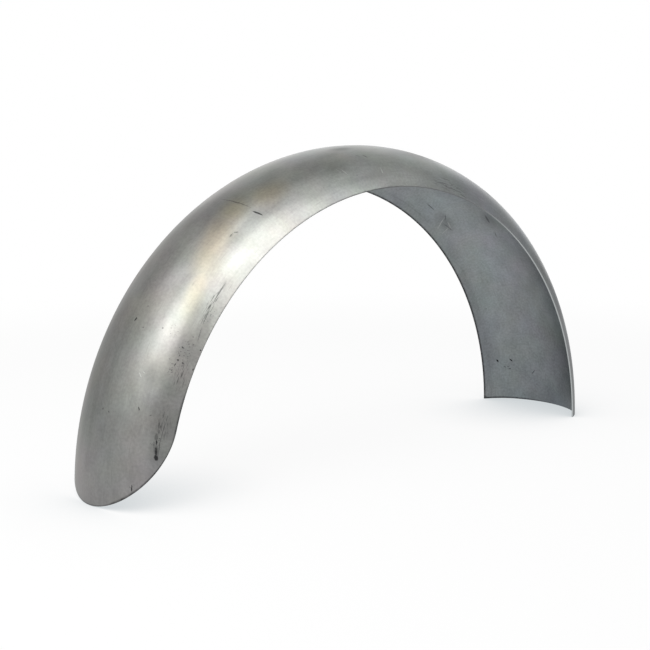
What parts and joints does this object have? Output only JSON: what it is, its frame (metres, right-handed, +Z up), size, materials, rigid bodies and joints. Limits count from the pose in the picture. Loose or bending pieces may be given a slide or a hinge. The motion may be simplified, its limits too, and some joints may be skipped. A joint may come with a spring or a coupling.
{
  "type": "motorcycle fender",
  "caption": "Bobber motorcycle's rear fender blank in bare sheet steel, curved over the wheel in a half circle, with a domed section, a rounded tail and a square-cut front end.",
  "frame": {"origin": "centre of the fender's footprint, on the surface that it stands on", "axes": "+X along the fender towards its square-cut front end, +Y across it along the wheel's axle line, +Z up from its two ends to the top of the crown"},
  "size_m": [0.696, 0.152, 0.3443],
  "materials": {
    "steel": "bare satin steel, lightly scratched and stained"
  },
  "bodies": {
    "root": {"fender": "steel"}
  },
  "joints": []
}
